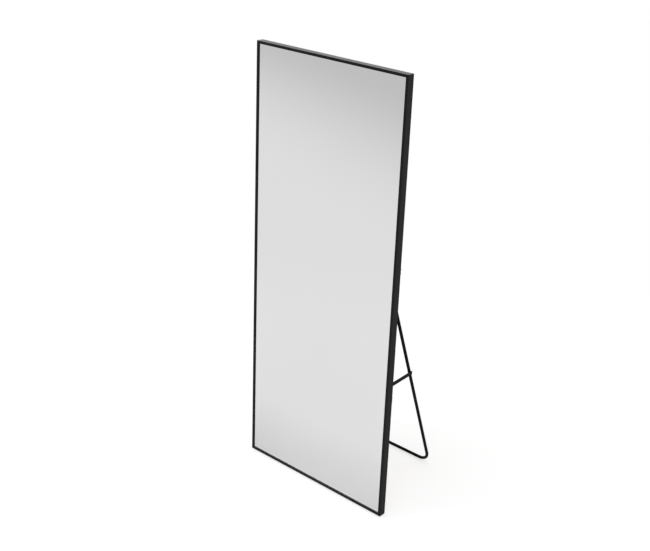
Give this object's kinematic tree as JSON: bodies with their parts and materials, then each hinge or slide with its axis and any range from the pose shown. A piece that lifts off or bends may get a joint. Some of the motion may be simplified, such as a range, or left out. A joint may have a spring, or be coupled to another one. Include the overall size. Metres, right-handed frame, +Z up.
{
  "type": "leaning floor mirror",
  "caption": "Tall leaning floor mirror in a thin black metal frame, with a folding U-shaped tube leg behind it and hooked stays that hold the leg open.",
  "frame": {"origin": "centre of the footprint, on the floor under the middle of the mirror and its open leg", "axes": "+Z up, -Y the way the mirror faces, +X to the right for someone who looks at the mirror"},
  "size_m": [0.61, 0.3684, 1.5017],
  "materials": {
    "frame_black": "satin black powder coat on extruded aluminium",
    "mirror_glass": "silvered float glass",
    "film_white": "white film",
    "foam_grey": "foam tape",
    "board_brown": "smooth hardboard",
    "rubber_black": "matt",
    "nylon_white": "natural nylon",
    "plastic_black": "moulded",
    "zinc_steel": "zinc plated",
    "steel_black": "satin black powder coat on steel"
  },
  "bodies": {
    "frame": {"back_board": "board_brown", "bottom_rail": "frame_black", "corner_key_bottom_left": "zinc_steel", "corner_key_bottom_right": "zinc_steel", "corner_key_top_left": "zinc_steel", "corner_key_top_right": "zinc_steel", "corner_set_screws": "zinc_steel", "crossbar_screws": "zinc_steel", "foam_strip_bottom": "foam_grey", "foam_strip_left": "foam_grey", "foam_strip_right": "foam_grey", "foam_strip_top": "foam_grey", "foot_pad_left": "rubber_black", "foot_pad_right": "rubber_black", "hinge_bolt_left": "zinc_steel", "hinge_bolt_right": "zinc_steel", "hinge_bracket_left": "steel_black", "hinge_bracket_right": "steel_black", "hinge_bracket_screws": "zinc_steel", "hinge_nut_left": "zinc_steel", "hinge_nut_right": "zinc_steel", "hinge_washers": "nylon_white", "left_rail": "frame_black", "lower_crossbar": "steel_black", "mirror_glass": "mirror_glass", "nut_plates": "zinc_steel", "right_rail": "frame_black", "setting_block_left": "rubber_black", "setting_block_right": "rubber_black", "shatter_film": "film_white", "stay_bracket_left": "steel_black", "stay_bracket_right": "steel_black", "stay_bracket_screws": "zinc_steel", "stay_rivet_left": "steel_black", "stay_rivet_right": "steel_black", "top_rail": "frame_black", "upper_crossbar": "steel_black"},
    "leg": {"floor_sleeve": "rubber_black", "leg_end_plug_left": "plastic_black", "leg_end_plug_right": "plastic_black", "leg_tube": "steel_black", "stay_stud_left": "steel_black", "stay_stud_right": "steel_black"},
    "stay_left": {"stay_left": "steel_black"},
    "stay_right": {"stay_right": "steel_black"}
  },
  "joints": [
    {"name": "leg_fold", "type": "hinge", "parent": "frame", "child": "leg", "pos_m": [0, -0.08929, 0.88543], "axis": [1, 0, 0], "range_deg": [-20.4, 0]},
    {"name": "stay_left_lift", "type": "hinge", "parent": "frame", "child": "stay_left", "pos_m": [-0.2425, -0.11776, 0.43633], "axis": [1, 0, 0], "range_deg": [0, 86.6]},
    {"name": "stay_right_lift", "type": "hinge", "parent": "frame", "child": "stay_right", "pos_m": [0.2425, -0.11776, 0.43633], "axis": [1, 0, 0], "range_deg": [0, 86.6]}
  ],
  "couplings": [
    {"joint": "stay_left_lift", "follows": "leg_fold", "ratio": -4.2402},
    {"joint": "stay_right_lift", "follows": "leg_fold", "ratio": -4.2402}
  ]
}
